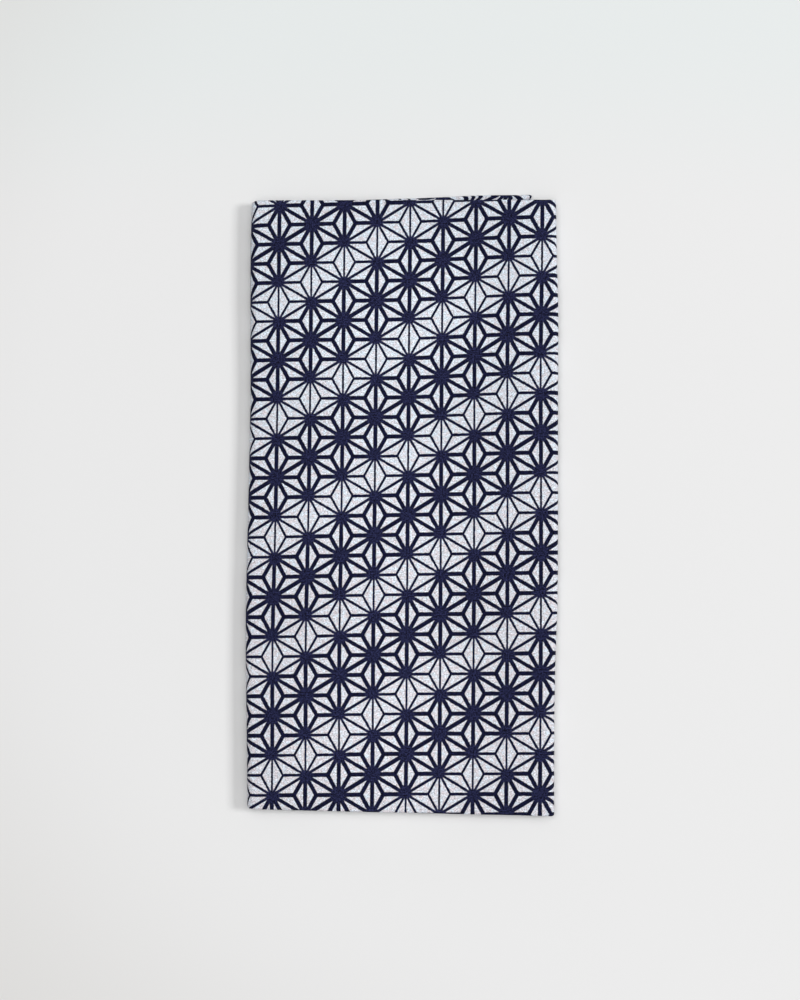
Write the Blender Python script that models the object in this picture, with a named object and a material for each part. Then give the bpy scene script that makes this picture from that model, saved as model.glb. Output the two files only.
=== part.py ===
"""A cotton hand towel, folded to a flat packet that lies on a table.

The cloth was folded to a quarter of its length, and then in three across its width. What is
modelled is the second fold: one long layer that starts at the free end of the inner flap, turns
round the right edge into the face, turns round the left edge into the outer flap, and ends at
that flap's free end. Each layer stands for the four plies of the first fold.

The frame: +X is the packet's right, +Y its head, +Z up. The underside lies on Z = 0, and the
origin is the middle of the bounding box's bottom. All sizes are in millimetres until the mesh is
made.
"""

import math
from collections import namedtuple

import bmesh
import bpy

METRES = 0.001

# Driving sizes of the folded packet
LAYER = 1.85            # one layer, four plies of cotton with the air between them
GAP = 0.40              # clear space between two layers where the packet is pressed flat
INNER_END = -52.1       # free end of the inner flap, at mid length
INNER_END_LEAN = -0.003
OUTER_END = 47.1        # free end of the outer flap, at mid length
OUTER_END_LEAN = -0.002

# The packet was held flat round its middle, and swells a little towards its ends
HELD_HALF = 38.0        # half the length that was held
SWELL_LENGTH = 45.0     # from there it swells over this length
SWELL = 0.35            # how much higher the face lies at the ends

# Past the outer flap's free end the two upper layers have nothing under them, and sink a little
SINK = 0.9              # how far the face sinks at the right edge
SINK_START = 1.5        # how far past the flap's end it starts
SINK_LENGTH = 6.0       # over what length

# How finely the surfaces are divided
STEPS_ALONG = 20        # along each layer, from foot to head
RIM_STEPS = 4           # round the folded edge at the head and the foot
END_ANGLES = (35, 65)   # the rounding of a free end, in degrees

# The two long edges aren't straight. One row for each place along the packet, from foot to head,
# with where the left and the right edge lie there
Edge = namedtuple("Edge", "along left right")
EDGES = (
    Edge(-114.0, -56.4, 55.9),
    Edge(-95.0, -56.7, 55.95),
    Edge(-75.0, -57.15, 56.1),
    Edge(-55.0, -57.6, 56.55),
    Edge(-38.0, -57.7, 57.2),
    Edge(0.0, -57.15, 57.5),
    Edge(40.0, -56.75, 57.55),
    Edge(70.0, -57.05, 57.7),
    Edge(92.0, -57.15, 57.2),
    Edge(113.0, -56.9, 56.9),
)

# One row for each layer: the level it lies on, and its head and foot edges, each as the place on
# the packet's middle line and the slope towards the right
Layer = namedtuple("Layer", "level head head_slope foot foot_slope")
LAYERS = {
    "outer flap": Layer(0, 113.75, 0.0145, -112.05, 0.0160),
    "inner flap": Layer(1, 110.9, 0.0080, -113.6, -0.0110),
    "face": Layer(2, 112.2, -0.0129, -113.8, -0.0146),
}

# One row for each stretch of the section, in order along the cloth. A run goes straight across
# one layer, and a turn goes round an edge from one layer to another.
Stretch = namedtuple("Stretch", "kind first last steps")
SECTION = (
    Stretch("run", "inner flap", "inner flap", 11),
    Stretch("right turn", "inner flap", "face", 9),
    Stretch("run", "face", "face", 13),
    Stretch("left turn", "face", "outer flap", 13),
    Stretch("run", "outer flap", "outer flap", 11),
)

HALF = LAYER / 2
PITCH = LAYER + GAP


def middle_height(name):
    """Height of the middle of a layer above the table."""
    return HALF + LAYERS[name].level * PITCH


RIGHT_RADIUS = (middle_height("face") - middle_height("inner flap")) / 2
LEFT_RADIUS = (middle_height("face") - middle_height("outer flap")) / 2


def mix(a, b, t):
    """The value a share t of the way from a to b."""
    return a + (b - a) * t


def smooth(t):
    """A share that starts and stops softly."""
    t = min(max(t, 0.0), 1.0)
    return t * t * (3 - 2 * t)


def edge_slope(i, side):
    """The slope of an edge's curve at row i of the table, from the rows on both sides of it."""
    before, after = EDGES[max(i - 1, 0)], EDGES[min(i + 1, len(EDGES) - 1)]
    return (getattr(after, side) - getattr(before, side)) / (after.along - before.along)


def edge_place(y, side):
    """Where the left or the right edge lies, on a smooth curve through the rows of the table."""
    y = min(max(y, EDGES[0].along), EDGES[-1].along)
    i = max(n for n in range(len(EDGES) - 1) if EDGES[n].along <= y)
    first, last = EDGES[i], EDGES[i + 1]
    length = last.along - first.along
    t = (y - first.along) / length
    start, end = getattr(first, side), getattr(last, side)
    bend = (1 - t) * edge_slope(i, side) - t * edge_slope(i + 1, side)
    lean = (1 - 2 * t) * (end - start)
    return mix(start, end, t) + t * (1 - t) * (length * bend - lean)


def left_centre(y):
    """Where the left turn is centred, at a place along the packet."""
    return edge_place(y, "left") + LEFT_RADIUS + HALF


def right_centre(y):
    """Where the right turn is centred, at a place along the packet."""
    return edge_place(y, "right") - RIGHT_RADIUS - HALF


def run_ends(name, y):
    """Where a layer's run starts and ends, in the order of the section."""
    if name == "inner flap":
        return INNER_END + INNER_END_LEAN * y, right_centre(y)
    if name == "face":
        return right_centre(y), left_centre(y)
    return left_centre(y), OUTER_END + OUTER_END_LEAN * y


def settle(x, y, height):
    """How far a point is lifted by the swelling, less how far it sinks by the right edge."""
    share = smooth((abs(y) - HELD_HALF) / SWELL_LENGTH)
    lift = SWELL * share * max(height - HALF, 0.0) / (2 * PITCH)
    past_flap = x - (OUTER_END + OUTER_END_LEAN * y) - SINK_START
    return lift - SINK * smooth(past_flap / SINK_LENGTH) * min(height / PITCH, 1.0)


def section_point(stretch, t, y, out):
    """A point of the cloth: t along the stretch, y along the packet, out from the middle surface.

    Outward is up on the face and down on both flaps, so it turns over with the cloth.
    """
    z_first = middle_height(stretch.first)
    z_last = middle_height(stretch.last)
    if stretch.kind == "run":
        start, end = run_ends(stretch.first, y)
        side = 1 if stretch.first == "face" else -1
        return mix(start, end, t), z_first + side * out
    middle = (z_first + z_last) / 2
    if stretch.kind == "right turn":
        angle = math.pi * (1 - t)
        reach = RIGHT_RADIUS + out
        return right_centre(y) + reach * math.sin(angle), middle + reach * math.cos(angle)
    angle = math.pi * t
    reach = LEFT_RADIUS + out
    return left_centre(y) - reach * math.sin(angle), middle + reach * math.cos(angle)


def edges(stretch, t, x):
    """The foot and the head of the cloth at x, t of the way along a stretch."""
    first, last = LAYERS[stretch.first], LAYERS[stretch.last]
    foot = mix(first.foot + first.foot_slope * x, last.foot + last.foot_slope * x, t)
    head = mix(first.head + first.head_slope * x, last.head + last.head_slope * x, t)
    return foot, head


def ring_plan():
    """The ring round one section line: where along it (0 foot, 1 head), past the end, and out.

    The two last values are shares of half the layer's thickness.
    """
    up = [(i / STEPS_ALONG, 0.0, 1.0) for i in range(STEPS_ALONG + 1)]
    angles = [math.pi * (i + 1) / (RIM_STEPS + 1) for i in range(RIM_STEPS)]
    head = [(1.0, math.sin(a), math.cos(a)) for a in angles]
    down = [(1 - i / STEPS_ALONG, 0.0, -1.0) for i in range(STEPS_ALONG + 1)]
    foot = [(0.0, -math.sin(a), -math.cos(a)) for a in angles]
    return up + head + down + foot


def ring(bm, stretch, t, shrink=1.0, past=0.0):
    """Adds one ring of points; at a free end it shrinks and moves past the end of the run."""
    points = []
    for along, over, out in ring_plan():
        x_middle, _ = section_point(stretch, t, 0.0, 0.0)
        foot, head = edges(stretch, t, x_middle)
        y = mix(foot + HALF, head - HALF, along) + over * HALF * shrink
        x, z = section_point(stretch, t, y, out * HALF * shrink)
        points.append(bm.verts.new((x + past, y, z + settle(x, y, z))))
    return points


def free_end(bm, stretch, t, direction):
    """The rounded rings of a free end, from the full section outwards."""
    rings = []
    for degrees in END_ANGLES:
        angle = math.radians(degrees)
        rings.append(ring(bm, stretch, t, math.cos(angle), direction * HALF * math.sin(angle)))
    return rings


def join(bm, first, second):
    """Faces between two rings."""
    count = len(first)
    for i in range(count):
        j = (i + 1) % count
        bm.faces.new((first[i], first[j], second[j], second[i]))


def cap(bm, points):
    """Closes the last ring of a free end, with a face for each step along it."""
    down = STEPS_ALONG + 1 + RIM_STEPS
    for i in range(STEPS_ALONG):
        j = down + STEPS_ALONG - i
        bm.faces.new((points[i], points[i + 1], points[j - 1], points[j]))
    bm.faces.new(points[STEPS_ALONG:down + 1])
    bm.faces.new(points[down + STEPS_ALONG:] + points[:1])


def flatten_underside(bm):
    """Makes one flat face of what lies on the table."""
    on_table = [f for f in bm.faces if all(abs(v.co.z) < 1e-6 for v in f.verts)]
    bmesh.ops.dissolve_faces(bm, faces=on_table, use_verts=False)


def centre_on_origin(bm):
    """Moves the cloth so that the middle of its bounding box is over the origin."""
    xs = [v.co.x for v in bm.verts]
    ys = [v.co.y for v in bm.verts]
    middle = ((min(xs) + max(xs)) / 2, (min(ys) + max(ys)) / 2, 0.0)
    for v in bm.verts:
        v.co = [(v.co[i] - middle[i]) * METRES for i in range(3)]


def towel_mesh():
    """The folded cloth as one closed mesh."""
    bm = bmesh.new()
    rings = list(reversed(free_end(bm, SECTION[0], 0.0, -1)))
    for stretch in SECTION:
        first = 0 if stretch is SECTION[0] else 1
        for i in range(first, stretch.steps + 1):
            rings.append(ring(bm, stretch, i / stretch.steps))
    rings += free_end(bm, SECTION[-1], 1.0, 1)
    for first, second in zip(rings, rings[1:]):
        join(bm, first, second)
    cap(bm, rings[0])
    cap(bm, rings[-1])
    flatten_underside(bm)
    centre_on_origin(bm)
    bmesh.ops.recalc_face_normals(bm, faces=bm.faces)
    mesh = bpy.data.meshes.new("towel")
    bm.to_mesh(mesh)
    bm.free()
    return mesh


def cotton():
    """White cotton with a dark blue print, as the even colour of the two together."""
    material = bpy.data.materials.new("printed cotton")
    material.use_nodes = True
    shader = material.node_tree.nodes["Principled BSDF"]
    shader.inputs["Base Color"].default_value = (0.30, 0.33, 0.45, 1.0)
    shader.inputs["Roughness"].default_value = 0.9
    shader.inputs["Metallic"].default_value = 0.0
    return material


def main():
    """Clears the scene and builds the towel."""
    for item in list(bpy.data.objects):
        bpy.data.objects.remove(item, do_unlink=True)
    mesh = towel_mesh()
    mesh.shade_smooth()
    mesh.set_sharp_from_angle(angle=math.radians(40))
    towel = bpy.data.objects.new("towel", mesh)
    towel.data.materials.append(cotton())
    bpy.context.scene.collection.objects.link(towel)


main()
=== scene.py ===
# %% [markdown]
# # A folded cotton hand towel
#
# The object is one length of thin, plain-woven cotton, about 33 cm wide and 90 cm long, printed
# with the old hemp-leaf lattice in dark blue. It was folded in half twice along its length, and
# then in three across its width, so the narrow packet on the table is twelve plies of one cloth.
#
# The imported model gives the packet's place and size. Everything here is built inside it, in
# metres, with millimetres wherever a fold or a thread is described.

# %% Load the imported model
import math
from collections import namedtuple

import bmesh
import bpy
import numpy as np
from mathutils import Matrix, Vector


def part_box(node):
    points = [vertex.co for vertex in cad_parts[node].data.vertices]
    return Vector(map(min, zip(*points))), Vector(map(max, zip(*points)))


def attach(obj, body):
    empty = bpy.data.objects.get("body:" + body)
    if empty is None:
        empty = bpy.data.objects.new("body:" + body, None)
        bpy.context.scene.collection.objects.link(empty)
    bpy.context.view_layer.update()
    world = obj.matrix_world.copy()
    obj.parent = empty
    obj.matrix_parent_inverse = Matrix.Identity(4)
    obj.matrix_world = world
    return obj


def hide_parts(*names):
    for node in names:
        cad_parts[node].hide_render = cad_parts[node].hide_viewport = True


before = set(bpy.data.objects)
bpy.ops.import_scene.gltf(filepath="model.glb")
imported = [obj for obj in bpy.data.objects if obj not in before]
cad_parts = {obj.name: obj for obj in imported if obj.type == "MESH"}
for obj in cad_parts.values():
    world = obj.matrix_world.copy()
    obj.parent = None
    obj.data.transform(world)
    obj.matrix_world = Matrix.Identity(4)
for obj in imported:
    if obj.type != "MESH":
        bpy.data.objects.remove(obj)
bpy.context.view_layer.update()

box_low, box_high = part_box("towel")
MM = 0.001
print("packet, mm:", [round((high - low) / MM, 1) for low, high in zip(box_low, box_high)])

# %% [markdown]
# ## The camera
#
# The picture looks down on the table. The camera stands a little towards the packet's right and
# foot, because the print grows by about one part in a hundred over every hundred millimetres that
# way. A long lens at 0.9 m gives the same slight perspective. Blender fits a portrait picture by
# its height, so the lens follows from how many millimetres the picture spans at the packet's face.

# %% Camera
FACE_HEIGHT = 6.3 * MM              # the top of the packet above the table
AIM = (-0.4 * MM, 0.3 * MM, FACE_HEIGHT)
CAMERA_DISTANCE = 0.9
CAMERA_TOWARDS = (0.0927, -0.0891)  # how far the line of sight leans to the right and to the head
CAMERA_ROLL = math.radians(0.24)
PICTURE_HEIGHT = 0.367              # metres that the picture spans, top to bottom, at the face
SENSOR = 36.0


def look_from(camera, aim, lean, distance, roll):
    """Stands a camera off a point, along a line that leans by lean from the vertical."""
    back = Vector((lean[0], lean[1], math.sqrt(1 - lean[0] ** 2 - lean[1] ** 2)))
    right = Vector((0, 1, 0)).cross(back).normalized()
    up = back.cross(right)
    turned_right = right * math.cos(roll) + up * math.sin(roll)
    turned_up = up * math.cos(roll) - right * math.sin(roll)
    spot = Vector(aim) + back * distance
    rows = [(turned_right[i], turned_up[i], back[i], spot[i]) for i in range(3)]
    camera.matrix_world = Matrix(rows + [(0, 0, 0, 1)])


camera = bpy.data.objects.new("camera", bpy.data.cameras.new("camera"))
bpy.context.scene.collection.objects.link(camera)
bpy.context.scene.camera = camera
camera.data.sensor_width = SENSOR
camera.data.sensor_fit = "AUTO"
camera.data.lens = SENSOR * CAMERA_DISTANCE / PICTURE_HEIGHT
look_from(camera, AIM, CAMERA_TOWARDS, CAMERA_DISTANCE, CAMERA_ROLL)
print("camera at", [round(v, 3) for v in camera.location], "lens", round(camera.data.lens, 1))

# %% [markdown]
# ## The first fold, along the length
#
# The cloth is followed as a path, from one cut end to the other. Folding in half twice puts four
# plies on each other, and the path runs to and fro between the packet's foot and head:
#
# 1. from the first cut end, at the head, down to the foot, as the lowest ply,
# 2. round the whole foot and up to the head, as the top ply,
# 3. round the head turn and down to the foot, as the second ply,
# 4. round the innermost turn and up to the second cut end, as the third ply.
#
# A cloth simulation could fold it too, but it would hardly come out as flat and square as a pressed
# packet, so the folds are worked out by rule. A turn is a half circle, and any point of the cloth
# is found by walking this path. Cotton doesn't crease sharply by hand, so the head turn is a little
# rounder than the plies are apart, and the second ply dips before it to meet it. Both cut ends stop
# short of it.

# %% The path of the first fold
CLOTH = 0.32            # thickness of the cotton, mm
PLY = 0.46              # from one ply to the next
LAYER = 4 * PLY         # one bundle of four plies
BUNDLE_LENGTH = 226.0   # the face, from foot to head
CUT_BACK = (3.0, 3.8)   # how far the first and the second cut end stop short of the head
INNER_TURN_BACK = 0.5   # the innermost turn sits this far inside the outer one
HEAD_TURN = 0.50        # radius of the head turn
DIP_LENGTH = 2.6        # how far before the head turn the second ply dips

FOOT_TURN = 1.5 * PLY
TIGHT_TURN = 0.5 * PLY
foot_centre = FOOT_TURN + CLOTH / 2
inner_centre = foot_centre + INNER_TURN_BACK
head_centre = BUNDLE_LENGTH - HEAD_TURN - CLOTH / 2
HEAD_DIP = TIGHT_TURN - (FOOT_TURN - 2 * HEAD_TURN)

# One row for each stretch of the path: its kind, where it starts and ends along the packet, its
# middle height in the bundle, its turn's radius, and which way the cloth's front faces
Stretch = namedtuple("Stretch", "kind start end height radius front")
first_fold = (
    Stretch("run", BUNDLE_LENGTH - CUT_BACK[0], foot_centre, -FOOT_TURN, 0.0, -1),
    Stretch("foot turn", foot_centre, foot_centre, 0.0, FOOT_TURN, 1),
    Stretch("run", foot_centre, head_centre, FOOT_TURN, 0.0, 1),
    Stretch("head turn", head_centre, head_centre, FOOT_TURN - HEAD_TURN, HEAD_TURN, 1),
    Stretch("dipping run", head_centre, inner_centre, TIGHT_TURN, 0.0, -1),
    Stretch("foot turn", inner_centre, inner_centre, 0.0, TIGHT_TURN, -1),
    Stretch("run", inner_centre, BUNDLE_LENGTH - CUT_BACK[1], -TIGHT_TURN, 0.0, 1),
)
TOP_PLY = 2             # number of the stretch that the face shows


def stretch_length(stretch):
    """How much cloth one stretch of the path takes."""
    if "turn" in stretch.kind:
        return math.pi * stretch.radius
    return abs(stretch.end - stretch.start)


lengths = [stretch_length(stretch) for stretch in first_fold]
stretch_starts = [sum(lengths[:i]) for i in range(len(lengths))]


# %% A point of the first fold
def smooth(t):
    """A share that starts and stops softly."""
    t = np.clip(t, 0.0, 1.0)
    return t * t * (3 - 2 * t)


def bundle_point(number, part, out):
    """A point a share of the way along one stretch: its place along the packet and its height."""
    kind, start, end, height, radius, front = first_fold[number]
    if "run" in kind:
        place = start + (end - start) * part
        if kind == "dipping run":
            height = height - HEAD_DIP * smooth(1 - (start - place) / DIP_LENGTH)
        return place, height + front * out
    angle = np.pi * part
    reach = radius + front * out
    if kind == "head turn":
        return start + reach * np.sin(angle), height + reach * np.cos(angle)
    upwards = 1 if front > 0 else -1
    return start - reach * np.sin(angle), height - upwards * reach * np.cos(angle)


cut_end = bundle_point(0, 0.0, 0.0)
print("first cut end in the bundle, mm:", [round(float(v), 2) for v in cut_end])

# %% [markdown]
# ## The second fold, across the width
#
# The bundle of four is folded in three. Seen from the foot, its section starts at the free edge of
# the inner flap, turns round the right edge, comes back as the face, turns round the left edge and
# ends as the outer flap, on the table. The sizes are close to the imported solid's, apart from the
# right turn, which stands free past the outer flap's end and is rounder. An outline drawn once
# could be swept along the packet, but then all plies would end alike. An outer ply has a longer way
# round a turn than an inner one, so its selvedge ends further back, and walking each ply's own way
# gives that by itself.
#
# Nothing here is quite straight or square. The long edges follow a smooth curve through the rows
# of a table, and each layer has a row of its own for its head and foot edges, which is why a
# corner of the outer flap shows above the head.

# %% The section of the second fold
LAYER_PITCH = 2.25              # from one layer of the packet to the next
LOWEST = LAYER / 2 + 0.01       # middle of the outer flap, just clear of the table
INNER_END = -52.1               # selvedge of the inner flap, on the middle line
INNER_END_LEAN = -0.003         # and how it leans towards the head
OUTER_END = 44.9                # selvedge of the outer flap
OUTER_END_LEAN = -0.002

# One row for each place along the packet, from foot to head: where the left and right edges lie
edge_table = np.array([
    (-114.0, -56.4, 55.9),
    (-95.0, -56.7, 55.95),
    (-75.0, -57.15, 56.1),
    (-55.0, -57.6, 56.55),
    (-38.0, -57.7, 57.2),
    (0.0, -57.15, 57.5),
    (40.0, -56.75, 57.55),
    (70.0, -57.05, 57.7),
    (92.0, -57.15, 57.2),
    (113.0, -56.9, 56.9),
])
LEFT, RIGHT = 1, 2

# One row for each layer: its level, and its head and foot edges on the middle line with their
# slopes towards the right
Layer = namedtuple("Layer", "level head head_slope foot foot_slope")
layers = {
    "outer flap": Layer(0, 113.75, 0.0145, -112.05, 0.0160),
    "inner flap": Layer(1, 110.9, 0.0080, -113.6, -0.0110),
    "face": Layer(2, 112.2, -0.0129, -113.65, -0.0146),
}
LEFT_TURN = LAYER_PITCH         # radius of the left turn, to the middle of the bundle
RIGHT_TURN = 1.9                # nothing lies under this one, so it is rounder than it has to be
RISE_LENGTH = 5.0               # over which the inner flap comes up to its level from it


def layer_height(name):
    """Middle height of a layer above the table."""
    return LOWEST + layers[name].level * LAYER_PITCH


def curve_through(table, column, place):
    """A smooth curve through one column of a table whose first column is the place."""
    along, value = table[:, 0], table[:, column]
    before = np.maximum(np.arange(len(along)) - 1, 0)
    after = np.minimum(np.arange(len(along)) + 1, len(along) - 1)
    slope = (value[after] - value[before]) / (along[after] - along[before])
    place = np.clip(place, along[0], along[-1])
    i = np.clip(np.searchsorted(along, place, side="right") - 1, 0, len(along) - 2)
    length, rise = along[i + 1] - along[i], value[i + 1] - value[i]
    t = (place - along[i]) / length
    bend = (1 - t) * slope[i] - t * slope[i + 1]
    return value[i] + t * rise + t * (1 - t) * (length * bend - (1 - 2 * t) * rise)


def left_centre(y):
    """Where the left turn is centred at a place along the packet."""
    return curve_through(edge_table, LEFT, y) + LEFT_TURN + LAYER / 2


def right_centre(y):
    """Where the right turn is centred at a place along the packet."""
    return curve_through(edge_table, RIGHT, y) - RIGHT_TURN - LAYER / 2


print("layer heights, mm:", [round(layer_height(name), 2) for name in layers])


# %% The width of the cloth
# Where the middle of the face lies across the flat cloth, and how wide the cloth is. The ply that
# goes outermost round the left edge ends at OUTER_END, and was pushed together by SPARE. The ply
# that goes innermost round the right edge ends at INNER_END.
SPARE = 2.4
SPARE_REACH = 40.0              # how far past a turn a flap takes up the cloth it has to spare
outermost_left_turn = np.pi * (LEFT_TURN + FOOT_TURN)
innermost_right_turn = np.pi * (RIGHT_TURN - FOOT_TURN)
FACE_MIDDLE = float(OUTER_END - 2 * left_centre(0.0) + outermost_left_turn + SPARE)
CLOTH_WIDTH = float(FACE_MIDDLE + 2 * right_centre(0.0) + innermost_right_turn - INNER_END)
print("cloth width, mm:", round(CLOTH_WIDTH, 1))

# %% [markdown]
# ## Unevenness
#
# Hand-folded cotton is never quite even. The folded ends stand a tenth of a millimetre or so in
# or out, the corners are pulled round, and the face has shallow troughs and ridges. The ends use a
# sum of a few long waves. The plies that share a turn move together, or the turn would tear. Noise
# alone would be equally restless everywhere, so the corners, the pulls and the main creases are
# placed one by one, each as a row of a table. A crease is a soft bump that is stretched along one
# direction, so a long narrow one reads as a ridge and a negative one as a trough. A pull moves the
# print along the cloth without moving its edges.

# %% Where the cloth was pulled and creased
# One row for each pull: where it is on the flat cloth, from the packet's middle, and how far the
# print was drawn to the right and to the head there, in mm
pulls = (
    (-46.0, 95.0, -0.03, -0.12),
    (0.0, 95.0, 0.04, -0.37),
    (46.0, 95.0, 0.09, 0.08),
    (-46.0, 50.0, 0.08, 0.21),
    (0.0, 50.0, -0.02, -0.34),
    (46.0, 50.0, -0.36, 0.44),
    (-46.0, -50.0, -0.55, -0.45),
    (0.0, -50.0, 0.08, -0.11),
    (46.0, -50.0, 0.09, -0.30),
    (0.0, -95.0, 0.21, 0.24),
    (-148.0, 117.0, 0.65, -4.10),   # on the outer flap, by its head
)
PULL_WIDTH, PULL_LENGTH = 30.0, 32.0

# One row for each corner: which long edge (-1 left, 1 right) and which end (-1 foot, 1 head), how
# far the cloth is pulled in there (or out, below zero), and over what distance that fades
corners = (
    (-1, 1, 0.6, 1.8),
    (1, 1, -0.35, 3.5),
    (-1, -1, 0.4, 2.5),
    (1, -1, -0.25, 4.0),
)

# One row for each crease of the face: its middle, the direction it runs in, half its length and
# half its width, and its height, all in mm and degrees
creases = (
    (16.0, 62.0, 84.0, 70.0, 12.0, -0.30),
    (42.0, 55.0, 88.0, 60.0, 7.0, 0.22),
    (-24.0, 70.0, 97.0, 55.0, 13.0, 0.20),
    (-50.0, -40.0, 91.0, 90.0, 3.5, -0.20),
    (14.0, -70.0, 80.0, 45.0, 12.0, -0.26),
    (-20.0, -78.0, 102.0, 40.0, 10.0, 0.20),
    (38.0, -66.0, 96.0, 42.0, 8.0, 0.20),
    (-8.0, 96.0, 12.0, 30.0, 6.0, -0.14),
    (10.0, -100.0, 172.0, 34.0, 6.0, -0.14),
)


def corner_pull(x, y, end):
    """How far the cloth is pulled in at the corners of the foot (end -1) or the head (end 1)."""
    pull = 0.0
    for side, corner_end, reach, fade in corners:
        if corner_end == end:
            edge = curve_through(edge_table, LEFT if side < 0 else RIGHT, y)
            pull = pull + reach * np.exp(-np.maximum(side * (edge - x), 0.0) / fade)
    return pull


def crease_height(x, y):
    """The relief of the face at a place, the sum of its creases."""
    total = 0.0
    for middle_x, middle_y, degrees, half_length, half_width, height in creases:
        c, s = math.cos(math.radians(degrees)), math.sin(math.radians(degrees))
        lengthwise = ((x - middle_x) * c + (y - middle_y) * s) / half_length
        crosswise = ((y - middle_y) * c - (x - middle_x) * s) / half_width
        total = total + height * np.exp(-lengthwise ** 2 - crosswise ** 2)
    return total


relief = crease_height(*np.meshgrid(np.linspace(-57, 57, 39), np.linspace(-113, 113, 77)))
print("relief of the face, mm:", round(float(relief.min()), 2), "to", round(float(relief.max()), 2))

# %% Waves along the folded ends
rng = np.random.default_rng(20)
RAGGED = 0.09           # how far a folded end stands in or out, mm
RAGGED_REACH = 30.0     # how far along the packet that dies away
WAVES = 5               # how many waves are added up
SHORTEST, LONGEST = 28.0, 120.0

# Which ends of the plies share a turn and so one sum of waves, by number of stretch
FOOT_GROUP = (0, 0, 0, 1, 1, 1, 1)
HEAD_GROUP = (2, 2, 3, 3, 3, 4, 4)


def long_waves(count, shortest, longest):
    """Draws waves along the cloth: their lengths, starts and weights."""
    lengths = rng.uniform(shortest, longest, count)
    return lengths, rng.uniform(0, 2 * np.pi, count), rng.uniform(0.5, 1.0, count)


ragged_waves = [long_waves(WAVES, SHORTEST, LONGEST) for _ in range(max(HEAD_GROUP) + 1)]


def along_wave(place, waves):
    """The sum of some waves at a place, between about -1 and 1."""
    total = 0.0
    for length, start, weight in zip(*waves):
        total = total + weight * np.sin(2 * np.pi * place / length + start)
    return total / np.sum(waves[2])


print("sums of waves:", len(ragged_waves))

# %% [markdown]
# ## Both folds together
#
# A point of the cloth is given by its distance across, its stretch of the first fold and the share
# of it, and how far it stands off the cloth's middle. The first fold gives its height in the
# bundle, and with that the second fold places it. The face keeps the cloth's own distances. A flap
# reaches from a wavy edge to its straight selvedge, and takes up the difference next to its turn.

# %% How the layers rise, sink and end
HELD_HALF = 38.0        # half the length that was held flat, round the middle
SWELL_LENGTH = 45.0     # from there the packet swells over this length
SWELL = 0.35            # how much higher the face lies at the ends
SINK = 0.9              # how far the face sinks past the outer flap's end
SINK_START = 2.9        # how far past that end it starts
SINK_LENGTH = 6.0       # over what length


def settle(x, y, z):
    """Moves points up or down, more the higher they lie: the swelling, the creases, the sink."""
    high = np.clip((z - LAYER / 2) / (2 * LAYER_PITCH), 0.0, 1.0)
    swell = SWELL * smooth((np.abs(y) - HELD_HALF) / SWELL_LENGTH)
    past_flap = x - (OUTER_END + OUTER_END_LEAN * y) - SINK_START
    sink = SINK * smooth(past_flap / SINK_LENGTH) * np.clip(z / LAYER_PITCH, 0.0, 1.0)
    return z + high * (swell + crease_height(x, y)) - sink


def layer_edge(x, end, left_part, right_part):
    """The "head" or the "foot" edge at x, which passes from layer to layer in a turn."""
    def line(name):
        return getattr(layers[name], end) + getattr(layers[name], end + "_slope") * x
    edge = line("face")
    edge = edge + (line("outer flap") - edge) * left_part
    return edge + (line("inner flap") - edge) * right_part


print("foot of the face, mm:", [round(layer_edge(x, "foot", 0.0, 0.0), 2) for x in (-50, 0, 50)])

# %% The fold of the whole cloth
FACE_EDGE_DROP = 0.30   # the face's foot and head bend down by this
FACE_EDGE_REACH = 3.0   # over this length
FLAP_FROM = 0.9         # past this share of the left turn the cloth counts as the outer flap
FLAP_BUMP = 0.38        # how far the flap's head edge bulges out
FLAP_BUMP_X, FLAP_BUMP_WIDTH = 26.0, 12.0
FLAP_CORNER = 0.10      # how far its corner is pulled in
FLAP_CORNER_FADE = 3.0


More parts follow.
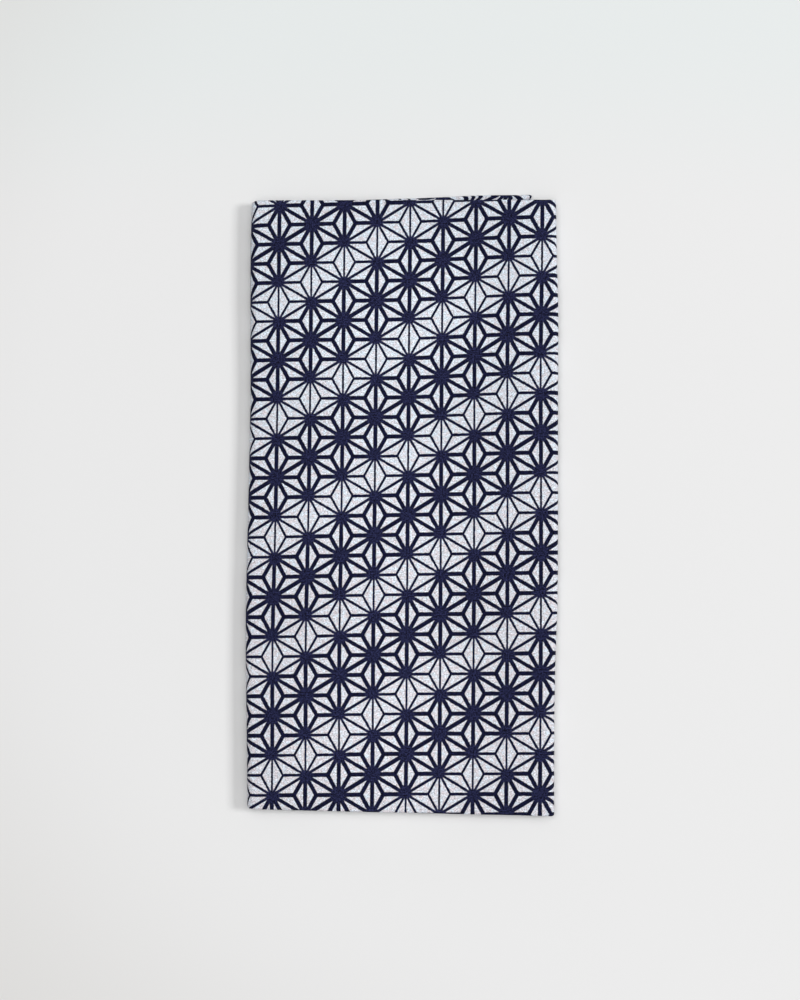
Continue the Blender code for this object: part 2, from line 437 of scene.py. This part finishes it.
def fold(across, number, part, out):
    """Places points of the cloth, in millimetres."""
    along, height = bundle_point(number, part, out)
    _, ply = bundle_point(number, part, 0.0)

    y0 = layers["face"].foot + along
    left, right = left_centre(y0), right_centre(y0)
    offset = across - FACE_MIDDLE               # to the right of the face's middle
    left_way = np.pi * (LEFT_TURN + ply)
    right_way = np.pi * (RIGHT_TURN + ply)
    past_left = left - offset                   # past the start of the left turn
    past_right = offset - right
    left_part = np.clip(past_left / left_way, 0.0, 1.0)
    right_part = np.clip(past_right / right_way, 0.0, 1.0)

    # How far along a flap a point is, where the flap's selvedge lies, and how much cloth it has to
    # spare, which is taken up next to the turn
    outer_run = np.maximum(past_left - left_way, 0.0)
    inner_run = np.maximum(past_right - right_way, 0.0)
    outer_end = OUTER_END + OUTER_END_LEAN * y0 + np.pi * (FOOT_TURN - ply)
    inner_end = INNER_END + INNER_END_LEAN * y0 + np.pi * (FOOT_TURN + ply)
    outer_spare = (left + FACE_MIDDLE - left_way) - (outer_end - left)
    inner_spare = (CLOTH_WIDTH - FACE_MIDDLE - right - right_way) - (right - inner_end)

    face_z, inner_z, outer_z = (layer_height(n) for n in ("face", "inner flap", "outer flap"))
    left_angle, right_angle = np.pi * left_part, np.pi * right_part
    left_x = left - (LEFT_TURN + height) * np.sin(left_angle)
    left_z = (face_z + outer_z) / 2 + (LEFT_TURN + height) * np.cos(left_angle)
    right_x = right + (RIGHT_TURN + height) * np.sin(right_angle)
    right_z = face_z - RIGHT_TURN + (RIGHT_TURN + height) * np.cos(right_angle)
    on_left, on_right = past_left > 0, past_right > 0
    x = np.where(on_right, right_x, np.where(on_left, left_x, offset))
    x = x + outer_run - outer_spare * smooth(outer_run / SPARE_REACH)
    x = x - inner_run + inner_spare * smooth(inner_run / SPARE_REACH)
    z = np.where(on_right, right_z, np.where(on_left, left_z, face_z + height))
    z = z + (inner_z - face_z + 2 * RIGHT_TURN) * smooth(inner_run / RISE_LENGTH)

    # The plain edges of the layers, and the uneven ones
    plain_foot = layer_edge(x, "foot", left_part, right_part)
    plain_head = layer_edge(x, "head", left_part, right_part)
    foot = plain_foot + corner_pull(x, y0, -1)
    head = plain_head - corner_pull(x, y0, 1)
    bump = FLAP_BUMP * np.exp(-((x - FLAP_BUMP_X) / FLAP_BUMP_WIDTH) ** 2)
    bump = bump - FLAP_CORNER * np.exp(-np.maximum(OUTER_END - x, 0.0) / FLAP_CORNER_FADE)
    head = head + bump * (left_part > FLAP_FROM)
    foot = foot + RAGGED * along_wave(across, ragged_waves[FOOT_GROUP[number]])
    head = head + RAGGED * along_wave(across, ragged_waves[HEAD_GROUP[number]])

    # How much of the unevenness of each end is felt here
    near_foot = smooth(1 - along / RAGGED_REACH)
    near_head = smooth(1 - (BUNDLE_LENGTH - along) / RAGGED_REACH)
    y = plain_foot + (plain_head - plain_foot) * along / BUNDLE_LENGTH
    y = y + (foot - plain_foot) * near_foot + (head - plain_head) * near_head

    on_face = (1 - left_part) * (1 - right_part)
    from_end = np.minimum(along, BUNDLE_LENGTH - along)
    drop = FACE_EDGE_DROP * smooth(1 - from_end / FACE_EDGE_REACH) * on_face
    return np.stack([x, y, settle(x, y, z) - drop], axis=-1)


face_middle_point = fold(np.array([FACE_MIDDLE]), TOP_PLY, 0.5, CLOTH / 2)[0]
print("middle of the face, mm:", [round(float(v), 1) for v in face_middle_point])

# %% [markdown]
# ## The cloth's mesh
#
# The mesh is a grid over the flat cloth, fine where the cloth turns and coarse where it lies flat.
# Subdividing a plane evenly would spend most of its faces on the flat parts instead. Each grid
# point is folded twice, once for the front of the cotton and once for its back, and the two skins
# are joined along the four edges. The flat place of every point is kept as its UV, in metres, so
# the print and the weave follow the cloth round every fold.

# %% Grid lines of the cloth
RUN_STEP = 4.2          # grid step along a run of the first fold
END_LINES = (0.6, 1.6, 3.0)     # extra lines this far from both ends of a run
TURN_STEPS = {1: 12, 3: 8, 5: 8}    # steps round each turn, by number of stretch
FLAT_STEP = 3.6         # grid step across a flat part
EDGE_STEP = 0.45        # grid step round the two long edges
EDGE_REACH = 2.0        # how far before and after a turn the fine steps go on


def along_lines():
    """The grid lines along the cloth: stretch, share of it and flat distance."""
    lines = []
    for number, length in enumerate(lengths):
        steps = TURN_STEPS.get(number) or round(length / RUN_STEP)
        parts = np.linspace(0.0, 1.0, steps + 1)
        if "run" in first_fold[number].kind:
            ends = np.array(END_LINES) / length
            parts = np.unique(np.concatenate([parts, ends, 1 - ends]).round(9))
        if number:
            parts = parts[1:]
        lines += [(number, part, stretch_starts[number] + part * length) for part in parts]
    return lines


def across_lines():
    """The grid lines across the cloth, from selvedge to selvedge."""
    outermost_right_turn = np.pi * (RIGHT_TURN + FOOT_TURN)
    left_from = FACE_MIDDLE + left_centre(0.0) - outermost_left_turn - EDGE_REACH
    left_to = FACE_MIDDLE + left_centre(0.0) + EDGE_REACH
    right_from = FACE_MIDDLE + right_centre(0.0) - EDGE_REACH
    right_to = FACE_MIDDLE + right_centre(0.0) + outermost_right_turn + EDGE_REACH
    spans = (
        (0.0, left_from, FLAT_STEP),
        (left_from, left_to, EDGE_STEP),
        (left_to, right_from, FLAT_STEP),
        (right_from, right_to, EDGE_STEP),
        (right_to, CLOTH_WIDTH, FLAT_STEP),
    )
    lines = [0.0]
    for start, end, step in spans:
        count = max(round((end - start) / step), 1)
        lines += list(np.linspace(start, end, count + 1)[1:])
    return np.array(lines)


rows = along_lines()
columns = across_lines()
print("grid:", len(rows), "by", len(columns), "points a side")


# %% Places on the flat cloth
def material_place(u, v):
    """Which place of the flat cloth lies where the folds would put u, v, after all pulls."""
    x = u - FACE_MIDDLE
    y = v - stretch_starts[TOP_PLY] + foot_centre + layers["face"].foot
    for middle_x, middle_y, to_right, to_head in pulls:
        share = np.exp(-((x - middle_x) / PULL_WIDTH) ** 2 - ((y - middle_y) / PULL_LENGTH) ** 2)
        u, v = u - to_right * share, v - to_head * share
    return u, v


pulled = [material_place(columns, v) for _, _, v in rows]
largest = max(float(np.abs(v - line[2]).max()) for (_, v), line in zip(pulled, rows))
print("the print is pulled along by up to", round(largest, 2), "mm")


# %% Build the cloth
def cloth_mesh(name):
    """The folded cloth as one closed sheet with flat UVs in metres."""
    count = len(columns)
    skins = []
    for side in (0.5, -0.5):            # the front of the cotton and its back
        points = [fold(columns, number, part, side * CLOTH) for number, part, _ in rows]
        skins.append(np.concatenate(points))
    points = np.concatenate(skins) * MM
    flat = [np.stack(place, axis=1) * MM for place in pulled]
    flat = np.concatenate(flat + flat)
    size = len(rows) * count

    faces = []
    for i in range(len(rows) - 1):
        for j in range(count - 1):
            a, b = i * count + j, (i + 1) * count + j
            faces.append((a, a + 1, b + 1, b))
            faces.append((size + a, size + b, size + b + 1, size + a + 1))
    rim = list(range(count))
    rim += [i * count + count - 1 for i in range(1, len(rows))]
    rim += [(len(rows) - 1) * count + j for j in range(count - 2, -1, -1)]
    rim += [i * count for i in range(len(rows) - 2, 0, -1)]
    for a, b in zip(rim, rim[1:] + rim[:1]):
        faces.append((a, size + a, size + b, b))

    mesh = bpy.data.meshes.new(name)
    mesh.from_pydata(points.tolist(), [], faces)
    layer = mesh.uv_layers.new(name="flat cloth")
    corner_points = np.array([loop.vertex_index for loop in mesh.loops])
    layer.data.foreach_set("uv", flat[corner_points].ravel())
    mesh.validate()
    bm = bmesh.new()
    bm.from_mesh(mesh)
    if bm.calc_volume(signed=True) < 0:
        bmesh.ops.reverse_faces(bm, faces=bm.faces)
    bm.to_mesh(mesh)
    bm.free()
    mesh.shade_smooth()
    return mesh


cloth = bpy.data.objects.new("folded_cloth", cloth_mesh("folded_cloth"))
bpy.context.scene.collection.objects.link(cloth)
print("cloth:", len(cloth.data.polygons), "faces")

# %% [markdown]
# ## Shader groups
#
# Long formulas read badly as a wall of nodes, so a small helper adds Math nodes and returns their
# outputs. With it a group is written almost as one would write the formula. A group has named
# inputs for its sizes, and puts out only masks and heights.

# %% A helper for node formulas
class Formula:
    """Adds nodes to a tree; its methods return sockets that can be used in the next call."""

    def __init__(self, tree):
        self.tree = tree

    def node(self, kind, **settings):
        """A new node with some of its settings."""
        node = self.tree.nodes.new(kind)
        for key, value in settings.items():
            setattr(node, key, value)
        return node

    def feed(self, socket, value):
        """Links a socket to another, or sets its value."""
        if isinstance(value, bpy.types.NodeSocket):
            self.tree.links.new(value, socket)
        else:
            socket.default_value = value

    def math(self, operation, *values):
        """A Math node."""
        node = self.node("ShaderNodeMath", operation=operation)
        for socket, value in zip(node.inputs, values):
            self.feed(socket, value)
        return node.outputs[0]

    def vector(self, operation, *values):
        """A Vector Math node; a dot product or a length comes out as a value."""
        node = self.node("ShaderNodeVectorMath", operation=operation)
        for socket, value in zip(node.inputs, values):
            self.feed(socket, value)
        return node.outputs["Value" if operation in ("DOT_PRODUCT", "LENGTH") else "Vector"]

    def scale(self, vector, factor):
        """A vector or a colour times a number."""
        node = self.node("ShaderNodeVectorMath", operation="SCALE")
        self.feed(node.inputs[0], vector)
        self.feed(node.inputs["Scale"], factor)
        return node.outputs["Vector"]

    def noise(self, vector, scale):
        """Smooth noise around zero, with a scale in cells to one unit of length."""
        node = self.node("ShaderNodeTexNoise")
        for name, value in (("Vector", vector), ("Scale", scale), ("Detail", 1.0)):
            self.feed(node.inputs[name], value)
        return self.math("SUBTRACT", node.outputs["Fac"], 0.5)

    def ramp(self, value, low, high, to_low=0.0, to_high=1.0):
        """A soft step from one value to another."""
        node = self.node("ShaderNodeMapRange", interpolation_type="SMOOTHSTEP")
        for socket, item in zip(node.inputs, (value, low, high, to_low, to_high)):
            self.feed(socket, item)
        return node.outputs["Result"]


# %% A helper for shader groups
def new_group(name, inputs, outputs):
    """An empty shader group: its formula helper, and the sockets of its inputs and outputs."""
    tree = bpy.data.node_groups.new(name, "ShaderNodeTree")
    for label, kind, value in inputs:
        socket = tree.interface.new_socket(label, in_out="INPUT", socket_type=kind)
        if value is not None:
            socket.default_value = value
    for label, kind in outputs:
        tree.interface.new_socket(label, in_out="OUTPUT", socket_type=kind)
    formula = Formula(tree)
    entry = formula.node("NodeGroupInput")
    leave = formula.node("NodeGroupOutput")
    return formula, entry.outputs, leave.inputs


def use_group(f, tree, values):
    """Places a shader group and feeds its inputs by name."""
    node = f.node("ShaderNodeGroup", node_tree=tree)
    for name, value in values.items():
        f.feed(node.inputs[name], value)
    return node.outputs


# %% [markdown]
# ## The hemp-leaf lattice
#
# The pattern is a lattice of triangles. Its stars sit on the corners, each side of a triangle is a
# line, and three more lines join the triangle's middle to its corners. Any point lies in one
# triangle, and its three shares there, which add up to one, tell how far it is from each side. The
# lines to the middle are where the two smaller shares are equal. A picture of the pattern would
# blur close up, so the shader works the lines out for every point.
#
# The printer cut the lattice in two weights. Counting the slanting rows of stars in threes, the
# strip between the second and the third row has fine lines and the other two strips have bold
# ones, so the stars of every first row come out darkest. On this cloth the rows also climb a little
# against the weave.

# %% Sizes of the print
COLUMN_STEP = (12.212, 0.168)       # from a column of stars to the next, mm to the right and up
ROW_STEP = (-0.069, -14.568)        # from a star to the next in its column
FIRST_STAR = (-45.92, 96.13)        # a star of a first row, on the face
line_widths = {                     # in mm
    "Bold Line": 1.52,
    "Bold Row": 1.60,               # the slanting sides along the first rows
    "Bold Slant": 1.40,             # the sides that slant down to the right
    "Row Line": 1.06,               # the slanting sides along the second and third rows
    "Fine Line": 0.90,              # in a fine strip: the lines to a triangle's middle
    "Fine Bar": 1.07,               # the level one of them
    "Fine Side": 0.78,              # the upright sides
    "Fine Slant": 1.00,
}
INK_EDGE = 0.10                     # the softness of the ink's edge
INK_FILL = 0.30                     # ink closes sharp corners within about this
STAR_FROM, STAR_TO = 0.69, 0.82     # shares of the way to a star between which the dye thins


def flat_place(x, y):
    """Where a point of the face, in millimetres, lies on the flat cloth."""
    foot = layer_edge(x, "foot", 0.0, 0.0)
    head = layer_edge(x, "head", 0.0, 0.0)
    along = (y - foot) / (head - foot) * BUNDLE_LENGTH
    return np.array([FACE_MIDDLE + x, stretch_starts[TOP_PLY] + along - foot_centre])


def lattice_slopes():
    """The two vectors that turn a flat place into a column number and a row number."""
    middle = flat_place(0.0, 0.0)
    columns_apart = flat_place(*COLUMN_STEP) - middle
    rows_apart = flat_place(*ROW_STEP) - middle
    both = np.array([columns_apart - rows_apart / 2, rows_apart]).T
    return np.linalg.inv(both)


column_slope, row_slope = lattice_slopes()
print("one triangle is", round(1 / float(np.linalg.norm(column_slope)), 2), "mm high")


# %% The lattice as a shader group
ROWS_IN_REPEAT = 3.0    # rows and strips are counted in threes
WHOLE = 0.5             # whole numbers that are closer than this are the same
EQUAL = 0.0001          # and so are shares


def hemp_leaf_group():
    """Ink of the hemp-leaf lattice, from a place on the flat cloth in millimetres."""
    f, given, result = new_group(
        "hemp leaf print",
        [
            ("Place", "NodeSocketVector", None),
            ("First Star", "NodeSocketVector", (0, 0, 0)),
            ("Column Slope", "NodeSocketVector", (0.08, 0, 0)),
            ("Row Slope", "NodeSocketVector", (0, -0.07, 0)),
            *[(name, "NodeSocketFloat", width) for name, width in line_widths.items()],
            ("Edge", "NodeSocketFloat", 0.1),
            ("Fill", "NodeSocketFloat", 0.3),
        ],
        [("Ink", "NodeSocketFloat"), ("Star", "NodeSocketFloat")],
    )
    place = f.vector("SUBTRACT", given["Place"], given["First Star"])
    column = f.vector("DOT_PRODUCT", place, given["Column Slope"])
    row = f.vector("DOT_PRODUCT", place, given["Row Slope"])

    # The three families of lines, and the shares inside one triangle. What is left over in the
    # three adds up to one, or to two in a triangle that points the other way.
    families = [column, f.math("MULTIPLY", row, -1.0), f.math("SUBTRACT", row, column)]
    parts = [f.math("FRACT", family) for family in families]
    total = f.math("ADD", f.math("ADD", parts[0], parts[1]), parts[2])
    turned = f.math("GREATER_THAN", total, 1.5)
    shares = [f.math("ABSOLUTE", f.math("SUBTRACT", turned, part)) for part in parts]
    largest = f.math("MAXIMUM", f.math("MAXIMUM", shares[0], shares[1]), shares[2])
    smallest = f.math("MINIMUM", f.math("MINIMUM", shares[0], shares[1]), shares[2])

    # How many millimetres one share is, across each family and across the lines to the middle
    slopes = [given["Column Slope"], given["Row Slope"],
              f.vector("SUBTRACT", given["Row Slope"], given["Column Slope"])]
    heights = [f.math("DIVIDE", 1.0, f.vector("LENGTH", slope)) for slope in slopes]
    leaf_height = f.math("DIVIDE", heights[0], math.sqrt(3))

    # Which strip a point is in, which row is nearest, and whether a level line is near
    strip = f.math("FLOORED_MODULO", f.math("FLOOR", row), ROWS_IN_REPEAT)
    fine = f.math("COMPARE", strip, 1.0, WHOLE)
    near_row = f.math("FLOORED_MODULO", f.math("ROUND", row), ROWS_IN_REPEAT)
    first_row = f.math("COMPARE", near_row, 0.0, WHOLE)
    level = f.math("COMPARE", largest, shares[0], EQUAL)

    def choose(mask, yes, no):
        """One of two values by a mask."""
        return f.math("MULTIPLY_ADD", mask, f.math("SUBTRACT", yes, no), no)

    bold = given["Bold Line"]
    sides = (
        (shares[0], heights[0], choose(fine, given["Fine Side"], bold)),
        (shares[1], heights[1], choose(first_row, given["Bold Row"], given["Row Line"])),
        (shares[2], heights[2], choose(fine, given["Fine Slant"], given["Bold Slant"])),
    )
    inner = choose(fine, choose(level, given["Fine Bar"], given["Fine Line"]), bold)
    middle_gap = f.math("MULTIPLY_ADD", smallest, -2.0, f.math("SUBTRACT", 1.0, largest))
    nearest = f.math("MULTIPLY_ADD", inner, -0.5, f.math("MULTIPLY", middle_gap, leaf_height))
    for share, height, width in sides:
        gap = f.math("MULTIPLY_ADD", width, -0.5, f.math("MULTIPLY", share, height))
        nearest = f.math("SMOOTH_MIN", nearest, gap, given["Fill"])
    outside = f.math("MULTIPLY", given["Edge"], -1.0)
    f.feed(result["Ink"], f.ramp(nearest, outside, given["Edge"], 1.0, 0.0))
    f.feed(result["Star"], f.ramp(largest, STAR_FROM, STAR_TO))
    return f.tree


print_group = hemp_leaf_group()
print("hemp leaf print:", len(print_group.nodes), "nodes")

# %% [markdown]
# ## The weave
#
# Plain weave is two sets of threads that go over and under each other. No thread is even: thick
# and thin places show as a fine grain and as faint short streaks both ways. The tiny dark gaps at
# the crossings are painted shade, and a faint check, lighter where one set of threads lies on top
# and darker where the other does, is painted light. The threads are under half a millimetre apart,
# so from above all this is only a grain, and threads made as shapes would be very many for little.
# The group gives a height for a bump and a shade for the colour.

# %% The weave as a shader group
THREAD = 0.46                       # from one thread to the next, mm
WANDER, WANDER_SCALE = 0.5, 0.35    # how far threads wander, mm, and how often
STREAK_ALONG, STREAK_ACROSS = 0.4, 2.2      # scale of the uneven places along and across a thread
GRAIN_SCALE = (1.75, 2.05, 1.0)
CROSSING_EDGE = 0.6                 # how softly one thread takes over from the other


def weave_group():
    """Height and shade of a plain weave, from a place on the flat cloth in millimetres."""
    f, given, result = new_group(
        "plain weave",
        [
            ("Place", "NodeSocketVector", None),
            ("Thread", "NodeSocketFloat", 0.46),
            ("Streaks", "NodeSocketFloat", 0.4),
            ("Grain", "NodeSocketFloat", 1.0),
            ("Painted Light Checks", "NodeSocketFloat", 0.1),
            ("Painted Shade Gaps", "NodeSocketFloat", 0.2),
        ],
        [("Height", "NodeSocketFloat"), ("Shade", "NodeSocketFloat")],
    )
    wander = f.math("MULTIPLY", f.noise(given["Place"], WANDER_SCALE), WANDER)
    shifted = f.vector("ADD", given["Place"], wander)
    split = f.node("ShaderNodeSeparateXYZ")
    f.feed(split.inputs[0], shifted)
    turns = [f.math("DIVIDE", f.math("MULTIPLY", split.outputs[axis], math.pi), given["Thread"])
             for axis in ("X", "Y")]
    warp, weft = [f.math("ABSOLUTE", f.math("COSINE", turn)) for turn in turns]
    crossing = f.math("MULTIPLY", f.math("SINE", turns[0]), f.math("SINE", turns[1]))
    over = f.ramp(crossing, -CROSSING_EDGE, CROSSING_EDGE)
    under = f.math("SUBTRACT", 1.0, over)
    height = f.math("MULTIPLY_ADD", warp, over, f.math("MULTIPLY", weft, under))

    # Uneven threads: noise stretched along each set of threads, and noise at the size of a thread
    def uneven(scale):
        """Noise with a scale of its own each way."""
        return f.noise(f.vector("MULTIPLY", given["Place"], scale), 1.0)

    upright = uneven((STREAK_ACROSS, STREAK_ALONG, 1.0))
    streaks = f.math("ADD", upright, uneven((STREAK_ALONG, STREAK_ACROSS, 1.0)))
    grain = uneven(GRAIN_SCALE)
    gap = f.math("MULTIPLY", f.math("SUBTRACT", 1.0, warp), f.math("SUBTRACT", 1.0, weft))
    shade = f.math("MULTIPLY", streaks, given["Streaks"])
    shade = f.math("MULTIPLY_ADD", grain, given["Grain"], shade)
    # painted light: lighter where one set of threads lies on top, darker where the other does
    shade = f.math("MULTIPLY_ADD", f.math("SUBTRACT", over, 0.5), given["Painted Light Checks"], shade)
    # painted shade in the gaps at the crossings
    shade = f.math("SUBTRACT", shade, f.math("MULTIPLY", gap, given["Painted Shade Gaps"]))
    f.feed(result["Height"], f.math("ADD", height, streaks))
    f.feed(result["Shade"], shade)
    return f.tree


weave = weave_group()
print("plain weave:", len(weave.nodes), "nodes")

# %% [markdown]
# ## Printed cotton
#
# White cotton seen in daylight is a shade cold, and its threads aren't all of one tint. The colder
# tint towards the head of this cloth is painted light: a tint of the light, painted into the
# cotton's colour. The dye is a dark blue that looks almost black in the lines and a little lighter
# in the stars, where it was spread thinner. It sinks in unevenly, so its depth and the edge of
# every line follow the weave. One plain shader carries all of it, because dyed cotton has no coat
# of its own: rough, almost without gloss, with a trace of sheen for the fluff.

# %% Colours of the cotton and the dye
# ends of the cotton's tint: the mix is partly random, partly a painted cold tint of the light
COTTON_COLD = (0.635, 0.712, 0.796, 1.0)
COTTON_WARM = (0.635, 0.595, 0.630, 1.0)
INK_LINE = (0.0054, 0.0066, 0.0262, 1.0)
INK_STAR = (0.0138, 0.0156, 0.0480, 1.0)
INK_EDGE_WANDER = 0.26      # how far the print's edge wanders, mm
INK_EDGE_SCALES = (0.8, 2.4)
INK_MOTTLING = 3.0          # how much more uneven the dye is than the bare threads
DARKEST = 0.1               # no place is darker than this share of its colour
TINT_SCALE, TINT_SPREAD = 0.7, 2.8      # how often and how far the threads' tint changes
# painted light: a cold tint of the light that grows from the foot towards the head
LIGHT_TINT_FROM, LIGHT_TINT_TO = -80.0, 90.0        # places on the face between which the cotton gets colder
LIGHT_TINT_FOOT, LIGHT_TINT_HEAD = 0.36, 0.64       # how much of the cold tint there is at either


def mix_color(f, share, first, second):
    """A colour between two others."""
    node = f.node("ShaderNodeMix", data_type="RGBA")
    f.feed(node.inputs["Factor"], share)
    f.feed(node.inputs[6], first)
    f.feed(node.inputs[7], second)
    return node.outputs[2]


mean_white = [round((cold + warm) / 2, 3) for cold, warm in zip(COTTON_COLD[:3], COTTON_WARM[:3])]
print("mean white of the cotton:", mean_white)


# %% The printed cotton
def printed_cotton():
    """The finish of the cloth, in the places of its UV map."""
    material = bpy.data.materials.new("printed cotton")
    material.use_nodes = True
    shader = material.node_tree.nodes["Principled BSDF"]
    f = Formula(material.node_tree)
    uv = f.node("ShaderNodeUVMap", uv_map="flat cloth")
    place = f.scale(uv.outputs[0], 1 / MM)

    slow, quick = [f.noise(place, scale) for scale in INK_EDGE_SCALES]
    wander = f.math("MULTIPLY", f.math("ADD", slow, quick), INK_EDGE_WANDER)
    pattern = use_group(f, print_group, {
        "Place": f.vector("ADD", place, wander),
        "First Star": (*flat_place(*FIRST_STAR), 0.0),
        "Column Slope": (*column_slope, 0.0),
        "Row Slope": (*row_slope, 0.0),
        "Edge": INK_EDGE,
        "Fill": INK_FILL,
        **line_widths,
    })
    threads = use_group(f, weave, {
        "Place": place,
        "Thread": THREAD,
        "Streaks": 0.42,
        "Grain": 1.55,
        # the checks are painted light and the gaps painted shade
        "Painted Light Checks": 0.13,
        "Painted Shade Gaps": 0.15,
    })

    def uneven_color(color, amount):
        """A colour times the unevenness of the threads."""
        shade = f.math("MULTIPLY_ADD", threads["Shade"], amount, 1.0)
        return f.scale(color, f.math("MAXIMUM", shade, DARKEST))

    split = f.node("ShaderNodeSeparateXYZ")
    f.feed(split.inputs[0], place)
    # painted light: a cold tint of the light, painted into the cotton, growing towards the head
    start, end = [float(flat_place(0.0, y)[1]) for y in (LIGHT_TINT_FROM, LIGHT_TINT_TO)]
    along = f.ramp(split.outputs["Y"], start, end, LIGHT_TINT_FOOT, LIGHT_TINT_HEAD)
    tint = f.math("MULTIPLY_ADD", f.noise(place, TINT_SCALE), TINT_SPREAD, along)
    white = uneven_color(mix_color(f, tint, COTTON_WARM, COTTON_COLD), 1.0)
    dye = uneven_color(mix_color(f, pattern["Star"], INK_LINE, INK_STAR), INK_MOTTLING)
    f.feed(shader.inputs["Base Color"], mix_color(f, pattern["Ink"], white, dye))
    shader.inputs["Roughness"].default_value = 0.9
    shader.inputs["Specular IOR Level"].default_value = 0.06
    shader.inputs["Sheen Weight"].default_value = 0.03
    shader.inputs["Sheen Roughness"].default_value = 0.5

    bump = f.node("ShaderNodeBump")
    bump.inputs["Strength"].default_value = 0.35
    bump.inputs["Distance"].default_value = 0.08 * MM
    f.feed(bump.inputs["Height"], threads["Height"])
    f.feed(shader.inputs["Normal"], bump.outputs[0])
    return material


cotton = printed_cotton()
cloth.data.materials.append(cotton)
print("printed cotton:", len(cotton.node_tree.nodes), "nodes")

# %% [markdown]
# ## Floor and light
#
# The table is a plain pale sheet. A painted fall-off of the light makes it a little darker and
# warmer to the far left, and a painted cold tint of the light makes it a shade colder past the
# head. Most of the light is a soft glow from straight above, within about 30 degrees, so the shadow
# that hugs the packet is narrow. A broad key light on the right, a little under 40 degrees high,
# adds the shadow along the left edge, which is a little wider than the packet is high. Three weak
# lamps overhead make the middle of the packet a little brighter than its edges. A picture of a
# studio could light it too, but these can be set one by one.

# %% Floor
FLOOR_SIZE = 6.0
FLOOR_TONE = (0.788, 0.788, 0.788, 1.0)
# painted fall-off of the light far to the left, and a painted cold tint of the light past the head
FLOOR_PAINTED_FALLOFF = (0.69, 0.682, 0.668, 1.0)       # far to the left
FLOOR_PAINTED_COLD_LIGHT = (0.755, 0.785, 0.782, 1.0)     # past the head
# the painted fall-off of the light is centred here
BRIGHT_PLACE = (0.06, 0.03, 0.0)
FAR_START, FAR_LENGTH = 0.185, 0.15         # from this far off that place it gets darker
LEFT_FROM, LEFT_TO = 0.10, -0.02            # but only towards the left, between these places
HEAD_FROM, HEAD_TO = 0.10, 0.18             # and between these it gets colder past the head


def pale_floor():
    """A pale floor with painted light: darker far to the left, colder past the head."""
    mesh = bpy.data.meshes.new("floor")
    half = FLOOR_SIZE / 2
    points = [(-half, -half, 0.0), (half, -half, 0.0), (half, half, 0.0), (-half, half, 0.0)]
    mesh.from_pydata(points, [], [(0, 1, 2, 3)])
    floor = bpy.data.objects.new("floor", mesh)
    bpy.context.scene.collection.objects.link(floor)
    material = bpy.data.materials.new("pale paper")
    material.use_nodes = True
    shader = material.node_tree.nodes["Principled BSDF"]
    f = Formula(material.node_tree)
    place = f.node("ShaderNodeTexCoord").outputs["Object"]
    split = f.node("ShaderNodeSeparateXYZ")
    f.feed(split.inputs[0], place)
    away = f.vector("LENGTH", f.vector("SUBTRACT", place, BRIGHT_PLACE))
    far = f.ramp(away, FAR_START, FAR_START + FAR_LENGTH)
    # painted light: the floor's colour falls off far to the left and turns colder past the head
    painted_falloff = f.math("MULTIPLY", f.ramp(split.outputs["X"], LEFT_FROM, LEFT_TO), far)
    painted_cold_light = f.ramp(split.outputs["Y"], HEAD_FROM, HEAD_TO)
    tone = mix_color(f, painted_cold_light, FLOOR_TONE, FLOOR_PAINTED_COLD_LIGHT)
    f.feed(shader.inputs["Base Color"], mix_color(f, painted_falloff, tone, FLOOR_PAINTED_FALLOFF))
    shader.inputs["Roughness"].default_value = 0.95
    shader.inputs["Specular IOR Level"].default_value = 0.0
    mesh.materials.append(material)
    return floor


floor = pale_floor()
print("floor:", FLOOR_SIZE, "m square")

# %% Light
SKY_STRENGTH = 1.98
SKY_LOW = 0.13                      # how bright the sky is low down, as a share of overhead
SKY_FROM, SKY_TO = 0.74, 0.94       # between these heights on a unit sphere it brightens
KEY_ENERGY = 120.0
KEY_SIZE = 1.15
KEY_PLACE = (3.95, 0.20, 3.03)
LAMP_ENERGY = 5.1
LAMP_HEIGHT = 1.0
LAMP_PLACES = ((-0.005, 0.066), (-0.005, -0.006), (-0.004, -0.078))
LAMP_REACH = 0.050                  # how wide its patch of light is, from middle to edge
LAMP_RADIUS = 0.01                  # a larger lamp would smear that patch


def add_light(name, kind, place, energy, aim=(0.0, 0.0, 0.0)):
    """A white light that faces a place."""
    data = bpy.data.lights.new(name, kind)
    data.energy = energy
    light = bpy.data.objects.new(name, data)
    light.location = place
    light.rotation_euler = (Vector(place) - Vector(aim)).to_track_quat("Z", "Y").to_euler()
    bpy.context.scene.collection.objects.link(light)
    return data


def soft_sky():
    """A sky that glows straight above and is dim lower down."""
    world = bpy.data.worlds.new("studio")
    bpy.context.scene.world = world
    world.use_nodes = True
    f = Formula(world.node_tree)
    sky = world.node_tree.nodes["Background"]
    split = f.node("ShaderNodeSeparateXYZ")
    f.feed(split.inputs[0], f.node("ShaderNodeTexCoord").outputs["Generated"])
    f.feed(sky.inputs["Color"], f.ramp(split.outputs["Z"], SKY_FROM, SKY_TO, SKY_LOW, 1.0))
    sky.inputs["Strength"].default_value = SKY_STRENGTH


soft_sky()
add_light("key light", "AREA", KEY_PLACE, KEY_ENERGY).size = KEY_SIZE
for x, y in LAMP_PLACES:
    lamp = add_light("lamp", "SPOT", (x, y, LAMP_HEIGHT), LAMP_ENERGY, (x, y, 0.0))
    lamp.spot_size = 2 * math.atan(LAMP_REACH / LAMP_HEIGHT)
    lamp.spot_blend = 1.0
    lamp.shadow_soft_size = LAMP_RADIUS
bpy.context.scene.view_settings.view_transform = "Standard"
print("lights:", [(light.name, round(light.energy, 1)) for light in bpy.data.lights])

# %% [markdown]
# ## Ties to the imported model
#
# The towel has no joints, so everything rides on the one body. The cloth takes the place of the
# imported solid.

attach(cloth, "root")
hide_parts("towel")
